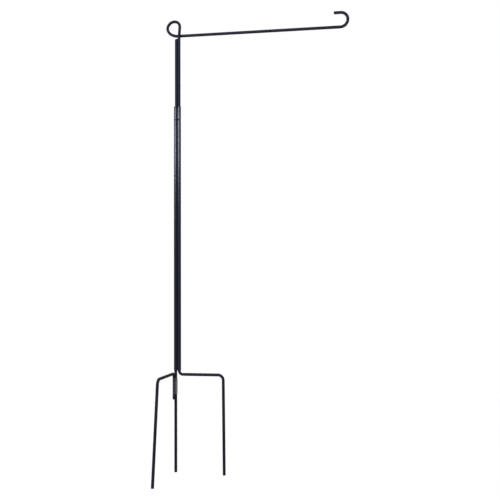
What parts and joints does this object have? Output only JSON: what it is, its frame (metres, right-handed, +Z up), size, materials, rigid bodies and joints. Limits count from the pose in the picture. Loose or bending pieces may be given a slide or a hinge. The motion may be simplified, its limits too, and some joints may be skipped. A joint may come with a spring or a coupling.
{
  "type": "garden flag stand",
  "caption": "Slim steel rod garden flag stand with a double pole, a hooked banner arm and bent ground prongs, one of which swivels.",
  "frame": {"origin": "centre of the centre prong's tip, at ground level", "axes": "+Z up the pole, +X out along the banner arm and the side prong, -Y along the swivel prong as shown"},
  "size_m": [0.4105, 0.1383, 0.9983],
  "materials": {
    "black_powder_coat": "satin black powder coat",
    "bare_steel": "dull bare steel"
  },
  "bodies": {
    "pole": {"left_tube": "black_powder_coat", "right_tube": "black_powder_coat", "tube_welds": "black_powder_coat", "centre_prong": "black_powder_coat", "side_prong": "black_powder_coat", "prong_welds": "black_powder_coat"},
    "arm_section": {"banner_arm": "black_powder_coat", "brace_rod": "black_powder_coat", "locator_peg": "black_powder_coat", "left_collar": "black_powder_coat", "right_collar": "black_powder_coat", "arm_brace_welds": "black_powder_coat", "collar_top_welds": "black_powder_coat", "collar_weld": "black_powder_coat"},
    "swivel_prong": {"front_prong": "black_powder_coat", "prong_sleeve": "bare_steel", "sleeve_welds": "bare_steel"}
  },
  "joints": [
    {"name": "arm_lift", "type": "slide", "parent": "pole", "child": "arm_section", "axis": [0, 0, 1], "range_m": [0, 0.075]},
    {"name": "prong_swivel", "type": "hinge", "parent": "pole", "child": "swivel_prong", "pos_m": [0, 0, 0.186], "axis": [0, 0, 1], "range_deg": [-227, 57]}
  ]
}
